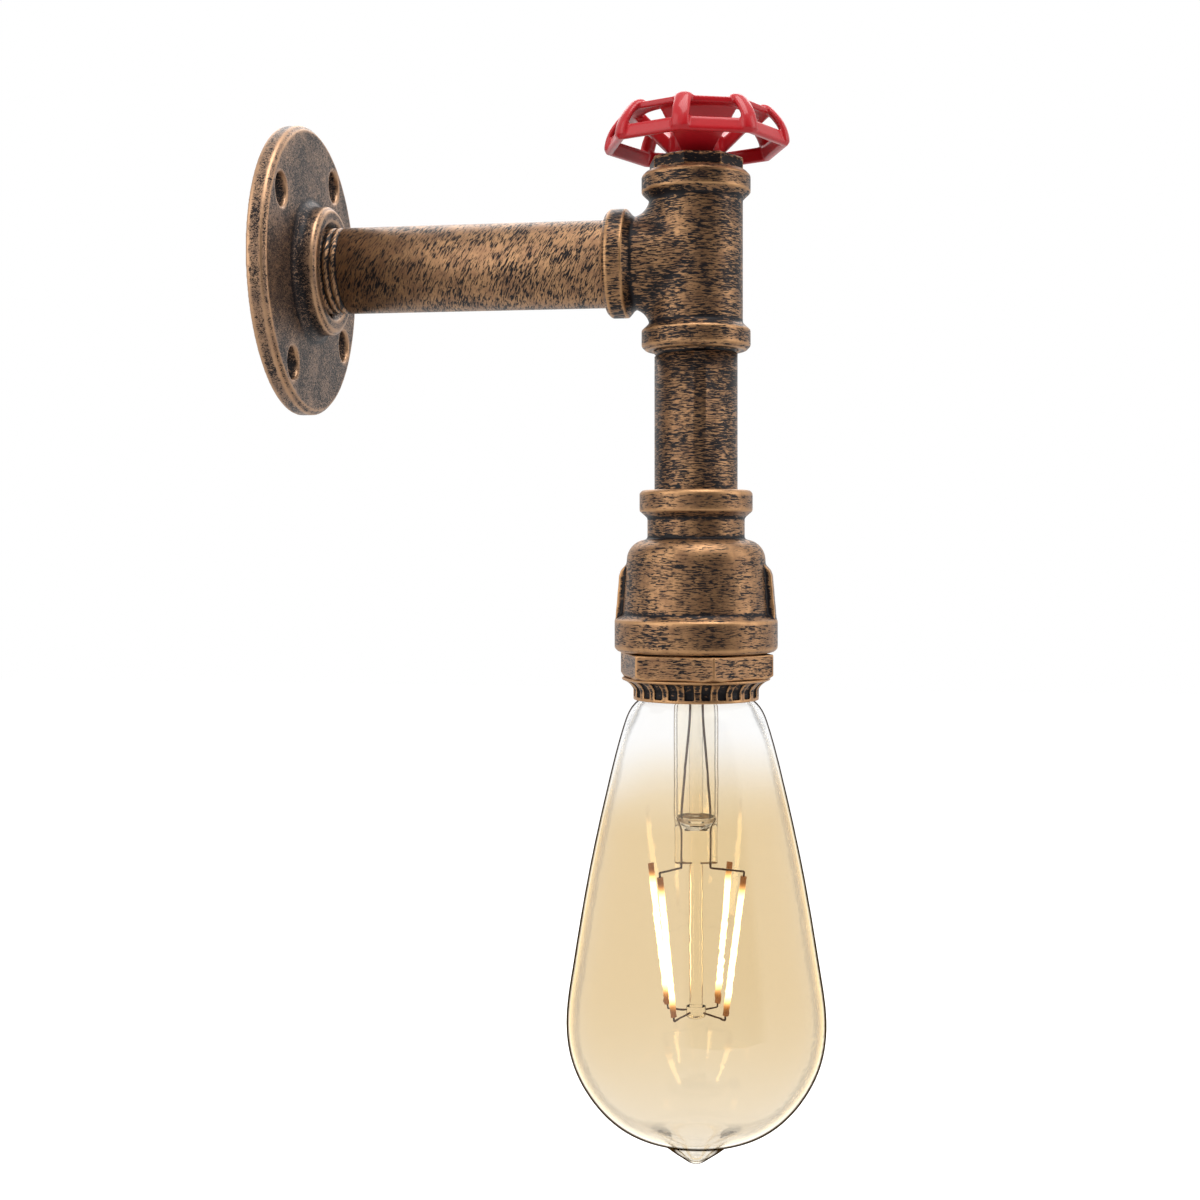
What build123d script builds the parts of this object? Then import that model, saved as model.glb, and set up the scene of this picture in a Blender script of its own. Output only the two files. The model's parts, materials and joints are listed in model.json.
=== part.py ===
from build123d import *
from math import cos, pi, radians, sin, sqrt
import os

# Industrial pipe wall light, in millimetres.
# The origin is the centre of the flange's back face. The wall is on the +Y side, +Z is up,
# and the arm runs along -Y to the lamp's upright axis, which carries the wheel and the bulb.

os.makedirs("parts", exist_ok=True)

# ---- Driving dimensions ----

# Overall layout
arm_reach = 103.0
drop_gap = 34.4
lamp_turn = 9.2

# Fits
thread_gap = 0.05
wheel_fit = 0.04
wheel_end_gap = 0.05
seat_gap = 0.3
slip_gap = 0.05

# Wall flange
flange_radius = 36.5
flange_thickness = 5.0
flange_edge = 1.1
hub_wall = 5.3
hub_height = 10.5
hub_root = 2.4
hub_edge = 1.0
mouth_flare = 1.7
screw_inset = 6.8
screw_hole_radius = 4.0
screw_hole_edge = 0.5
screw_count = 4
flange_turn = 12.0

# Pipes
arm_radius = 10.85
arm_wall = 2.85
arm_back_gap = 1.0
arm_thread_shown = 5.4
drop_slimness = 0.6
drop_wall = 2.25
drop_thread_shown = 1.6
pipe_pitch = 1.814
pipe_thread_depth = 0.75
pipe_thread_half_width = 0.76
pipe_socket = 10.0

# Tee
tee_half = 22.0
band_height = 5.0
band_slope = 1.8
band_edge = 1.1
band_rise = 1.9
barrel_wall = 1.25
branch_wall = 0.5
branch_corner = 5.0
tee_land = 1.25
branch_land = 2.35

# Plug, wheel screw and its washers
plug_flats = 22.0
plug_sides = 8
plug_turn = 36.7
plug_head = 3.3
plug_head_edge = 0.5
plug_thread = 10.0
wheel_screw_radius = 2.5
wheel_screw_head_radius = 4.4
wheel_screw_head = 2.8
wheel_screw_slot = 1.2
wheel_washer_radius = 5.2
wheel_washer_thickness = 0.8
spring_washer_radius = 4.8
spring_washer_thickness = 0.5
lock_nut_flats = 8.0
screw_end = 1.25
lock_nut_height = 4.0

# Handwheel
wheel_radius = 23.2
wheel_lobes = 8
wheel_turn = -3.6
rim_lift = 1.65
rim_height = 3.6
rim_thickness = 1.9
rim_slope = 17.0
rim_edge = 0.6
plate_lift = 9.3
plate_thickness = 1.6
plate_inset = 4.4
plate_width = 5.4
arch_width = 4.3
arch_thickness = 2.0
arch_curve = [(0, 0.9), (1.2, 5.2), (3.2, 7.9), (5.1, 9.4), (7.0, 8.4)]
wheel_hub_radius = 6.3
wheel_hub_height = 6.5
web_count = 3
web_angle = 76.0
web_root = 1.0
web_foot = 0.3
web_rise = 3.4
web_overlap = 2.0

# Bell reducer
collar_wall = 3.65
collar_height = 5.1
collar_slope = 1.7
collar_edge = 0.7
neck_wall = 1.7
neck_height = 5.3
bell_wall = 2.0
bell_taper = 1.0
mouth_wall = 3.5
mouth_height = 7.7
mouth_slope = 1.5
mouth_edge = 0.9
mouth_thread = 10.1
rib_width = 6.0
rib_rise = 1.7
rib_foot_inset = 0.35
rib_top_drop = 7.5
rib_shoulder = 1.3
rib_edge = 0.5

# Hexagon bush
hex_gap = 0.4
hex_ledge = 0.5
hex_height = 6.0
hex_turn = 18.6
hex_edge = 0.8

# Fluted ring
ring_wall = 0.35
ring_flare = 2.85
ring_height = 5.4
ring_edge = 0.45
ring_curve_height = 2.8
ring_curve_sag = 0.35
ring_curve_middle = 1.45
ring_lip = 1.1
ring_collar_wall = 1.1
ring_collar_height = 2.8
cap_cover = 2.4
flute_count = 24
flute_share = 0.57
flute_depth = 0.6
flute_top_gap = 0.7
flute_foot_gap = 0.8

# Lampholder
holder_wall = 0.9
holder_step = 1.5
holder_floor_thickness = 3.5
holder_flange_thickness = 1.3
holder_foot_drop = 1.5
socket_wall = 0.4
socket_foot_gap = 2.0
contact_radius = 3.2
contact_thickness = 1.2
contact_clearance = 1.0
rivet_radius = 1.0
rivet_head_rim = 0.5
rivet_head = 0.6

# Edison thread: knuckle ridges on the cap and in the socket
edison_pitch = 3.629
cap_core_radius = 12.15
cap_ridge = 1.0
socket_ridge = 1.08
ridge_root = 1.6
ridge_crest = 0.9
ridge_sink = 0.1
cap_ridge_foot_gap = 0.6
cap_ridge_top_gap = 1.6
socket_ridge_top_gap = 3.69

# Terminals and wires
terminal_width = 3.6
terminal_depth = 4.6
terminal_height = 4.8
terminal_strap = 0.7
terminal_top_gap = 0.7
wire_pitch = 4.4
wire_wall_gap = 0.24
wire_radius = 1.1
conductor_radius = 0.6
conductor_length = 3.8
wire_bend = 8.0
wire_back_gap = 6.0
terminal_screw_radius = 1.0
terminal_screw_head_radius = 1.6
terminal_screw_head = 1.2
terminal_screw_drop = 1.9
neutral_leg = 1.6

# Bulb
cap_wall = 0.3
cap_lip = 11.1
cap_height = 19.5
cap_skirt_height = 5.3
cap_flare = 1.2
insulator_height = 3.8
insulator_top_radius = 5.6
insulator_lip = 0.5
insulator_plug = 1.0
tip_contact_radius = 4.8
tip_contact_height = 1.2
neck_glass_gap = 0.1
neck_glass_rise = 4.2
neck_glass_drop = 0.2
glass_wall = 0.8
glass_mouth_gap = 0.4
bulb_radius = 32.0
bulb_widest_drop = 79.6
bulb_shoulder_radius = 17.8
bulb_shoulder_drop = 6.2
bulb_shoulder_round = 1.6
bulb_shoulder_rise = 3.8
bulb_depth = 108.3
seal_tip_radius = 9.4
seal_tip_height = 6.2

# Inside the bulb
stem_radius = 5.45
stem_wall = 0.6
stem_rise = 0.3
stem_flare_rise = 5.0
stem_length = 29.1
pinch_width = 10.4
pinch_thickness = 3.4
pinch_height = 8.1
pinch_blend = 3.5
exhaust_radius = 1.7
exhaust_gap = 1.5
button_radius = 2.45
button_height = 3.0
rod_drop = 78.6
lead_radius = 0.3
lead_spread_top = 1.2
lead_spread = 3.6
lead_end = 0.5
lead_bend = 2.0
support_radius = 0.25
filament_count = 4
filament_radius = 0.75
filament_start = -40.0
filament_top_reach = 14.3
filament_foot_reach = 9.0
filament_top_drop = 42.1
filament_foot_drop = 76.6
support_hook = 1.2
support_start = 0.8
board_width = 15.0
board_height = 12.0
board_thickness = 1.0

# ---- Radii worked out from them: each piece is built out from what it holds ----

arm_socket = arm_radius + thread_gap
arm_bore = arm_radius - arm_wall
hub_radius = arm_socket + hub_wall
drop_radius = arm_radius - drop_slimness
run_socket = drop_radius + thread_gap
drop_bore = drop_radius - drop_wall
barrel_radius = run_socket + barrel_wall
band_radius = barrel_radius + band_rise
branch_radius = arm_socket + branch_wall
tee_bore = drop_radius - tee_land
branch_bore = arm_radius - branch_land
collar_radius = run_socket + collar_wall
neck_radius = run_socket + neck_wall

cap_skirt_radius = cap_core_radius + cap_ridge
neck_glass_radius = cap_skirt_radius - cap_wall - neck_glass_gap
socket_radius = cap_skirt_radius + seat_gap
holder_bore = socket_radius + socket_wall + slip_gap
holder_radius = holder_bore + holder_wall
chamber_radius = holder_radius + seat_gap
mouth_thread_radius = chamber_radius + holder_step
holder_flange_radius = mouth_thread_radius - seat_gap
bell_radius = chamber_radius + bell_wall
bell_foot_radius = bell_radius + bell_taper
mouth_radius = mouth_thread_radius + mouth_wall
hex_corner_radius = (mouth_thread_radius + hex_ledge) / cos(pi / 6)
ring_collar_radius = chamber_radius + ring_collar_wall
ring_foot_radius = chamber_radius + ring_wall
ring_top_radius = ring_foot_radius + ring_flare
ring_lip_radius = ring_foot_radius - ring_lip

plate_radius = wheel_radius - plate_inset
plate_hole = plate_radius - plate_width

# ---- Heights worked out from them: down to the bulb's cap, and back up to the reducer's mouth ----

reducer_top = -tee_half - drop_gap
neck_top = reducer_top - collar_height - collar_slope
bell_top = neck_top - neck_height
chamber_top = bell_top - bell_wall
holder_top = chamber_top - terminal_top_gap - terminal_height
holder_floor = holder_top - holder_floor_thickness

tip_contact_top = holder_floor - contact_thickness - seat_gap
insulator_top = tip_contact_top - tip_contact_height
cap_top = insulator_top - insulator_height
cap_foot = cap_top - cap_height
cap_flare_top = cap_foot + cap_skirt_height + cap_flare
cap_ridge_start = cap_flare_top + ridge_root / 2 + cap_ridge_foot_gap
cap_thread_length = cap_top - cap_ridge_top_gap - cap_ridge_start
socket_ridge_start = cap_ridge_start + edison_pitch / 2
socket_thread_length = holder_floor - socket_ridge_top_gap - socket_ridge_start

ring_foot = cap_foot - cap_cover
hex_foot = ring_foot + ring_height
hex_top = hex_foot + hex_height
reducer_foot = hex_top + hex_gap
mouth_step = reducer_foot + mouth_thread
bell_foot = reducer_foot + mouth_height + mouth_slope
spigot_top = mouth_step - holder_flange_thickness
holder_foot = hex_foot - holder_foot_drop
ring_lip_top = holder_foot - seat_gap
socket_foot = holder_foot + socket_foot_gap

plug_top = tee_half + plug_head
plug_foot = tee_half - plug_thread
wheel_seat = plug_top + spring_washer_thickness + wheel_end_gap
wheel_hub_top = wheel_seat + wheel_hub_height
rim_bottom = wheel_seat + rim_lift
plate_bottom = wheel_seat + plate_lift

lamp_profile = Plane.XZ.offset(arm_reach)
lamp_axis = Axis((0, -arm_reach, 0), (0, 0, 1))


def lamp_level(height):
    """A level plane on the lamp's upright axis."""
    return Plane((0, -arm_reach, height))


def radial_plane(turn):
    """An upright plane through the lamp's axis: x runs outwards at this angle, y runs up."""
    outwards = Vector(1, 0, 0).rotate(Axis.Z, turn)
    return Plane((0, -arm_reach, 0), x_dir=outwards, z_dir=outwards.cross(Vector(0, 0, 1)))


def turn_about_lamp(*outline, mode=Mode.ADD):
    """Revolves an outline of (radius, height) points about the lamp's axis."""
    with BuildSketch(lamp_profile) as section:
        with BuildLine():
            Polyline(*outline, close=True)
        make_face()
    revolve(section.sketch, axis=lamp_axis, mode=mode)


def turn_about_arm(*outline, mode=Mode.ADD):
    """Revolves an outline of (distance from the wall, radius) points about the arm's axis."""
    with BuildSketch(Plane.YZ) as section:
        with BuildLine():
            Polyline(*[(-out, radius) for out, radius in outline], close=True)
        make_face()
    revolve(section.sketch, axis=Axis.Y, mode=mode)


def helical(start, length, pitch, radius, section_points, mode):
    """Sweeps a small section along a helix. The section's x is outwards from the thread's core."""
    with BuildLine() as path:
        Helix(pitch, length, radius, center=start.origin, direction=start.z_dir)
    outwards = path.line @ 0 - start.origin
    with BuildSketch(Plane(path.line @ 0, x_dir=outwards, z_dir=path.line % 0)) as section:
        with BuildLine():
            Polyline(*section_points, close=True)
        make_face()
    sweep(section.sketch, path=path.line, is_frenet=True, mode=mode)


def cut_pipe_thread(start, length, radius):
    """Cuts a V thread into a pipe end."""
    half = pipe_thread_half_width
    groove = [(-pipe_thread_depth, 0), (half, -half), (half, half)]
    helical(start, length, pipe_pitch, radius, groove, Mode.SUBTRACT)


def round_wire(points, radius, bend):
    """Sweeps a round wire along straight runs with rounded corners."""
    with BuildLine() as path:
        FilletPolyline(*points, radius=bend)
    with BuildSketch(Plane(path.line @ 0, z_dir=path.line % 0)) as section:
        Circle(radius)
    sweep(section.sketch, path=path.line)


def finish(part, name):
    """Labels a finished piece and writes it."""
    part.label = name
    export_step(part, f"parts/{name}.step")


# ---- Wall flange: a cast disc with a threaded hub ----

with BuildPart() as wall_flange:
    turn_about_arm(
        (0, 0),
        (0, flange_radius - flange_edge / 2),
        (flange_edge / 2, flange_radius),
        (flange_thickness - flange_edge, flange_radius),
        (flange_thickness, flange_radius - flange_edge),
        (flange_thickness, hub_radius),
        (hub_height - hub_edge, hub_radius),
        (hub_height, hub_radius - hub_edge),
        (hub_height, 0),
    )
    circles = wall_flange.edges().filter_by(GeomType.CIRCLE)
    hub_circles = circles.filter_by(lambda e: abs(e.radius - hub_radius) < 0.01)
    fillet(hub_circles.sort_by(Axis.Y)[-1], hub_root)
    turn_about_arm(
        (0, 0),
        (0, arm_socket),
        (hub_height - mouth_flare, arm_socket),
        (hub_height, arm_socket + mouth_flare),
        (hub_height, 0),
        mode=Mode.SUBTRACT,
    )
    with BuildSketch(Plane.XZ.offset(-flange_thickness)):
        first_hole = 180 / screw_count + flange_turn
        with PolarLocations(flange_radius - screw_inset, screw_count, start_angle=first_hole):
            Circle(screw_hole_radius)
    extrude(amount=3 * flange_thickness, mode=Mode.SUBTRACT)
    rims = wall_flange.edges().filter_by(GeomType.CIRCLE)
    front_rims = rims.filter_by(lambda e: abs(e.radius - screw_hole_radius) < 0.01).group_by(Axis.Y)[0]
    chamfer(front_rims, screw_hole_edge)

# ---- Arm pipe: its back end is screwed into the flange, its front end into the tee ----

arm_front = arm_reach - tee_half + pipe_socket

with BuildPart() as arm_pipe:
    with BuildSketch(Plane.XZ.offset(arm_back_gap)):
        Circle(arm_radius)
        Circle(arm_bore, mode=Mode.SUBTRACT)
    extrude(amount=arm_front - arm_back_gap)
    cut_pipe_thread(
        Plane.XZ.offset(hub_height - mouth_flare),
        mouth_flare + arm_thread_shown - pipe_pitch / 2,
        arm_radius,
    )

# ---- Tee: run upright, branch towards the wall, a band round each mouth ----

half_run = [
    (0, tee_half),
    (band_radius - band_edge, tee_half),
    (band_radius, tee_half - band_edge),
    (band_radius, tee_half - band_height),
    (barrel_radius, tee_half - band_height - band_slope),
]
branch_face = arm_reach - tee_half

with BuildPart() as tee:
    turn_about_lamp(*half_run, *[(radius, -height) for radius, height in reversed(half_run)])
    turn_about_arm(
        (arm_reach, 0),
        (arm_reach, branch_radius),
        (branch_face + band_height + band_slope, branch_radius),
        (branch_face + band_height, band_radius),
        (branch_face + band_edge, band_radius),
        (branch_face, band_radius - band_edge),
        (branch_face, 0),
    )
    saddle = tee.edges().filter_by(lambda e: e.geom_type not in (GeomType.LINE, GeomType.CIRCLE))
    fillet(saddle, branch_corner)
    half_bore = [
        (0, tee_half),
        (run_socket, tee_half),
        (run_socket, tee_half - pipe_socket),
        (tee_bore, tee_half - pipe_socket),
    ]
    turn_about_lamp(*half_bore, *[(r, -z) for r, z in reversed(half_bore)], mode=Mode.SUBTRACT)
    turn_about_arm(
        (arm_reach, 0),
        (arm_reach, branch_bore),
        (arm_front, branch_bore),
        (arm_front, arm_socket),
        (branch_face, arm_socket),
        (branch_face, 0),
        mode=Mode.SUBTRACT,
    )

# ---- Plug in the tee's top, with the wheel's screw ----

with BuildPart() as top_plug:
    with BuildSketch(lamp_level(plug_foot)):
        Circle(drop_radius)
    extrude(amount=plug_thread)
    with BuildSketch(lamp_level(tee_half)):
        RegularPolygon(plug_flats / 2, plug_sides, major_radius=False, rotation=plug_turn)
    extrude(amount=plug_head)
    chamfer(top_plug.faces().sort_by(Axis.Z)[-1].edges(), plug_head_edge)
    with BuildSketch(lamp_level(plug_foot)):
        Circle(wheel_screw_radius + thread_gap)
    extrude(amount=plug_thread + plug_head, mode=Mode.SUBTRACT)

with BuildPart() as wheel_spring_washer:
    with BuildSketch(lamp_level(plug_top)):
        Circle(spring_washer_radius)
        Circle(wheel_screw_radius + slip_gap, mode=Mode.SUBTRACT)
    extrude(amount=spring_washer_thickness)

with BuildPart() as wheel_washer:
    with BuildSketch(lamp_level(wheel_hub_top + wheel_end_gap)):
        Circle(wheel_washer_radius)
        Circle(wheel_screw_radius + slip_gap, mode=Mode.SUBTRACT)
    extrude(amount=wheel_washer_thickness)

screw_head_foot = wheel_hub_top + wheel_end_gap + wheel_washer_thickness
screw_foot = plug_foot - lock_nut_height - screw_end

with BuildPart() as wheel_screw:
    with BuildSketch(lamp_level(screw_foot)):
        Circle(wheel_screw_radius)
    extrude(amount=screw_head_foot - screw_foot)
    with BuildSketch(lamp_level(screw_head_foot)):
        Circle(wheel_screw_head_radius)
    extrude(amount=wheel_screw_head)
    fillet(wheel_screw.faces().sort_by(Axis.Z)[-1].edges(), wheel_screw_head / 3)
    with BuildSketch(lamp_level(screw_head_foot + wheel_screw_head / 2)):
        Rectangle(3 * wheel_screw_head_radius, wheel_screw_slot)
    extrude(amount=wheel_screw_head, mode=Mode.SUBTRACT)

with BuildPart() as wheel_lock_nut:
    with BuildSketch(lamp_level(plug_foot - lock_nut_height)):
        RegularPolygon(lock_nut_flats / 2, 6, major_radius=False)
        Circle(wheel_screw_radius + thread_gap, mode=Mode.SUBTRACT)
    extrude(amount=lock_nut_height)

# ---- Handwheel: an eight-sided rim band, arches at its corners, a top plate and three webs ----

flat_share = cos(pi / wheel_lobes)
arch_line = wheel_radius - arch_thickness / 2

with BuildPart() as rim_arch:
    with BuildLine(Plane.XZ) as arch_path:
        Spline(*[(arch_line - inset, rim_bottom + rise) for inset, rise in arch_curve])
    with BuildSketch(Plane(arch_path.line @ 0, x_dir=(1, 0, 0), z_dir=arch_path.line % 0)):
        Ellipse(arch_thickness / 2, arch_width / 2)
    sweep(path=arch_path.line)

with BuildPart() as wheel_web:
    with BuildSketch(Plane.XZ):
        with BuildLine():
            Polyline(
                (wheel_hub_radius - web_root, wheel_seat + web_foot),
                (wheel_hub_radius - web_root, wheel_seat + web_rise),
                (plate_hole, plate_bottom + plate_thickness),
                (plate_hole + web_overlap, plate_bottom + plate_thickness),
                (plate_hole + web_overlap, plate_bottom),
                (wheel_hub_radius, wheel_seat + web_foot),
                close=True,
            )
        make_face()
    revolve(axis=Axis.Z, revolution_arc=web_angle)

with BuildPart(lamp_level(0)) as handwheel:
    with BuildSketch(lamp_level(rim_bottom)):
        RegularPolygon(wheel_radius, wheel_lobes, rotation=wheel_turn)
    extrude(amount=rim_height, taper=rim_slope)
    with BuildSketch(lamp_level(rim_bottom)):
        RegularPolygon(wheel_radius - rim_thickness / flat_share, wheel_lobes, rotation=wheel_turn)
    extrude(amount=rim_height, taper=rim_slope, mode=Mode.SUBTRACT)
    fillet(handwheel.edges().filter_by(Plane.XY), rim_edge)
    with BuildSketch(lamp_level(plate_bottom)):
        RegularPolygon(plate_radius, wheel_lobes, rotation=wheel_turn)
        Circle(plate_hole, mode=Mode.SUBTRACT)
    extrude(amount=plate_thickness)
    with PolarLocations(0, wheel_lobes, start_angle=wheel_turn):
        add(rim_arch.part)
    with PolarLocations(0, web_count, start_angle=180 + lamp_turn - web_angle / 2):
        add(wheel_web.part)
    with BuildSketch(lamp_level(wheel_seat)):
        Circle(wheel_hub_radius)
    extrude(amount=wheel_hub_height)
    with BuildSketch(lamp_level(wheel_seat)):
        Circle(wheel_screw_radius + wheel_fit)
    extrude(amount=wheel_hub_height, mode=Mode.SUBTRACT)

# ---- Drop pipe ----

drop_top = -tee_half + pipe_socket
drop_foot = reducer_top - pipe_socket

with BuildPart() as drop_pipe:
    with BuildSketch(lamp_level(drop_foot)):
        Circle(drop_radius)
        Circle(drop_bore, mode=Mode.SUBTRACT)
    extrude(amount=drop_top - drop_foot)
    cut_pipe_thread(lamp_level(-tee_half - drop_thread_shown), drop_thread_shown + pipe_pitch, drop_radius)

# ---- Bell reducer: collar, neck, bell with two ribs, and a wide mouth ----

shoulder = bell_radius - neck_radius
chamber_shoulder = shoulder - bell_wall

with BuildPart() as bell_reducer:
    with BuildSketch(lamp_profile) as bell_section:
        with BuildLine():
            Polyline(
                (bell_radius, bell_top - shoulder),
                (bell_foot_radius, bell_foot),
                (mouth_radius, bell_foot - mouth_slope),
                (mouth_radius, reducer_foot + mouth_edge),
                (mouth_radius - mouth_edge, reducer_foot),
                (0, reducer_foot),
                (0, reducer_top),
                (collar_radius - collar_edge, reducer_top),
                (collar_radius, reducer_top - collar_edge),
                (collar_radius, neck_top + collar_slope),
                (neck_radius, neck_top),
                (neck_radius, bell_top),
            )
            CenterArc((neck_radius, bell_top - shoulder), shoulder, 0, 90)
        make_face()
    revolve(bell_section.sketch, axis=lamp_axis)
    rib_top = bell_top - rib_top_drop
    with BuildSketch(radial_plane(90)) as rib_section:
        with BuildLine():
            Polyline(
                (0, bell_foot - mouth_slope),
                (0, rib_top + rib_shoulder),
                (bell_radius, rib_top + rib_shoulder),
                (bell_radius + rib_rise - rib_edge, rib_top),
                (bell_radius + rib_rise, rib_top - rib_shoulder),
                (mouth_radius - rib_foot_inset, bell_foot - mouth_slope),
                close=True,
            )
        make_face()
    extrude(rib_section.sketch, amount=rib_width / 2, both=True)
    with BuildSketch(radial_plane(270)) as far_rib_section:
        add(rib_section.sketch_local)
    extrude(far_rib_section.sketch, amount=rib_width / 2, both=True)
    turn_about_lamp(
        (0, reducer_top),
        (run_socket, reducer_top),
        (run_socket, drop_foot),
        (tee_bore, drop_foot),
        (tee_bore, chamber_top),
        (chamber_radius - chamber_shoulder, chamber_top),
        (chamber_radius, chamber_top - chamber_shoulder),
        (chamber_radius, mouth_step),
        (mouth_thread_radius + thread_gap, mouth_step),
        (mouth_thread_radius + thread_gap, reducer_foot),
        (0, reducer_foot),
        mode=Mode.SUBTRACT,
    )

# ---- Hexagon bush: its spigot clamps the lampholder's flange in the reducer ----

with BuildPart() as hex_bush:
    with BuildSketch(lamp_level(hex_foot)):
        RegularPolygon(hex_corner_radius, 6, rotation=hex_turn)
    extrude(amount=hex_height)
    corner = hex_corner_radius + slip_gap
    turn_about_lamp(
        (0, hex_top),
        (corner, hex_top),
        (corner, hex_foot + hex_edge),
        (corner - 2 * hex_edge, hex_foot),
        (0, hex_foot),
        mode=Mode.INTERSECT,
    )
    with BuildSketch(lamp_level(hex_top)):
        Circle(mouth_thread_radius)
    extrude(amount=spigot_top - hex_top)
    with BuildSketch(lamp_level(hex_foot)):
        Circle(chamber_radius)
    extrude(amount=spigot_top - hex_foot, mode=Mode.SUBTRACT)
    with BuildSketch(lamp_level(hex_foot)):
        Circle(ring_collar_radius + thread_gap)
    extrude(amount=ring_collar_height + slip_gap, mode=Mode.SUBTRACT)

# ---- Fluted ring: its collar screws into the bush, its skirt flares in with 24 flutes ----

curve_foot = ring_foot + ring_height - ring_curve_height
flute_middle = (ring_top_radius + ring_foot_radius) / 2
flute_width = flute_share * 2 * pi * ring_foot_radius / flute_count
flute_top = hex_foot - flute_top_gap
flute_foot = ring_foot + flute_foot_gap

with BuildPart() as flute:
    with BuildSketch(Plane.XZ):
        with BuildLine():
            Polyline(
                (ring_foot_radius - flute_depth, flute_foot),
                (ring_foot_radius - flute_depth, curve_foot),
                (flute_middle - flute_depth, flute_top),
                (ring_top_radius + flute_depth, flute_top),
                (ring_top_radius + flute_depth, flute_foot),
                close=True,
            )
        make_face()
    extrude(amount=flute_width / 2, both=True)

with BuildPart(lamp_level(0)) as fluted_ring:
    with BuildSketch(lamp_profile) as ring_section:
        with BuildLine():
            ThreePointArc(
                (ring_top_radius, hex_foot - ring_edge),
                (flute_middle - ring_curve_sag, hex_foot - ring_curve_middle),
                (ring_foot_radius, curve_foot),
            )
            Polyline(
                (ring_foot_radius, curve_foot),
                (ring_foot_radius, ring_foot),
                (ring_lip_radius, ring_foot),
                (ring_lip_radius, ring_lip_top),
                (chamber_radius, ring_lip_top),
                (chamber_radius, hex_foot + ring_collar_height),
                (ring_collar_radius, hex_foot + ring_collar_height),
                (ring_collar_radius, hex_foot),
                (ring_top_radius, hex_foot),
                (ring_top_radius, hex_foot - ring_edge),
            )
        make_face()
    revolve(ring_section.sketch, axis=lamp_axis)
    with PolarLocations(0, flute_count):
        add(flute.part, mode=Mode.SUBTRACT)

# ---- Lampholder: moulded body, screw shell and centre contact ----

wire_circle = drop_bore - wire_radius - wire_wall_gap
wire_set_back = sqrt(wire_circle ** 2 - wire_pitch ** 2)
wire_row = Plane((0, -arm_reach - wire_set_back, holder_top))

with BuildPart() as holder_body:
    turn_about_lamp(
        (0, holder_top),
        (holder_radius, holder_top),
        (holder_radius, mouth_step),
        (holder_flange_radius, mouth_step),
        (holder_flange_radius, spigot_top),
        (holder_radius, spigot_top),
        (holder_radius, holder_foot),
        (holder_bore, holder_foot),
        (holder_bore, holder_floor),
        (0, holder_floor),
    )
    with BuildSketch(lamp_level(holder_floor)):
        Circle(rivet_radius + slip_gap)
    extrude(amount=holder_floor_thickness, mode=Mode.SUBTRACT)
    with BuildSketch(wire_row):
        with Locations((-wire_pitch, 0)):
            Rectangle(neutral_leg + 2 * slip_gap, neutral_leg / 2 + 2 * slip_gap)
    extrude(amount=-holder_floor_thickness, mode=Mode.SUBTRACT)

ridge_in = [(ridge_sink, -ridge_root / 2), (-socket_ridge, -ridge_crest / 2),
            (-socket_ridge, ridge_crest / 2), (ridge_sink, ridge_root / 2)]
ridge_out = [(-ridge_sink, -ridge_root / 2), (cap_ridge, -ridge_crest / 2),
             (cap_ridge, ridge_crest / 2), (-ridge_sink, ridge_root / 2)]

with BuildPart() as holder_shell:
    turn_about_lamp(
        (contact_radius + contact_clearance, holder_floor),
        (socket_radius + socket_wall, holder_floor),
        (socket_radius + socket_wall, socket_foot),
        (socket_radius, socket_foot),
        (socket_radius, holder_floor - socket_wall),
        (contact_radius + contact_clearance, holder_floor - socket_wall),
    )
    socket_start = lamp_level(socket_ridge_start)
    helical(socket_start, socket_thread_length, edison_pitch, socket_radius, ridge_in, Mode.ADD)

with BuildPart() as holder_centre_contact:
    turn_about_lamp(
        (0, holder_floor - contact_thickness),
        (contact_radius * 0.6, holder_floor - contact_thickness),
        (contact_radius, holder_floor - contact_thickness / 2),
        (contact_radius, holder_floor),
        (rivet_radius, holder_floor),
        (rivet_radius, holder_top + terminal_strap),
        (rivet_radius + rivet_head_rim, holder_top + terminal_strap),
        (rivet_radius + rivet_head_rim, holder_top + terminal_strap + rivet_head),
        (0, holder_top + terminal_strap + rivet_head),
    )

# ---- Terminals on the lampholder, and their clamp screws ----

clamp_height = terminal_height - terminal_screw_drop


def terminal_block(across):
    """A brass block with a wire hole from above and a clamp screw's hole from the front."""
    with BuildSketch(wire_row) as foot:
        with Locations((across, 0)):
            Rectangle(terminal_width, terminal_depth)
    extrude(foot.sketch, amount=terminal_height)
    with BuildSketch(wire_row.offset(terminal_height)) as wire_hole:
        with Locations((across, 0)):
            Circle(conductor_radius + slip_gap)
    extrude(wire_hole.sketch, amount=-conductor_length - slip_gap, mode=Mode.SUBTRACT)
    with BuildSketch(Plane.XZ.offset(arm_reach + wire_set_back)) as clamp_hole:
        with Locations((across, holder_top + clamp_height)):
            Circle(terminal_screw_radius + slip_gap)
    extrude(clamp_hole.sketch, amount=terminal_depth, mode=Mode.SUBTRACT)


with BuildPart() as live_terminal:
    terminal_block(0)
    with BuildSketch(lamp_level(holder_top)):
        with Locations((0, -wire_set_back / 2 + rivet_radius)):
            Rectangle(terminal_width, wire_set_back + 2 * rivet_radius)
        Circle(rivet_radius + slip_gap, mode=Mode.SUBTRACT)
        with Locations((0, -wire_set_back)):
            Rectangle(terminal_width, terminal_depth, mode=Mode.SUBTRACT)
    extrude(amount=terminal_strap)

with BuildPart() as neutral_terminal:
    terminal_block(-wire_pitch)
    with BuildSketch(wire_row):
        with Locations((-wire_pitch, 0)):
            Rectangle(neutral_leg, neutral_leg / 2)
    extrude(amount=-holder_floor_thickness)

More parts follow.
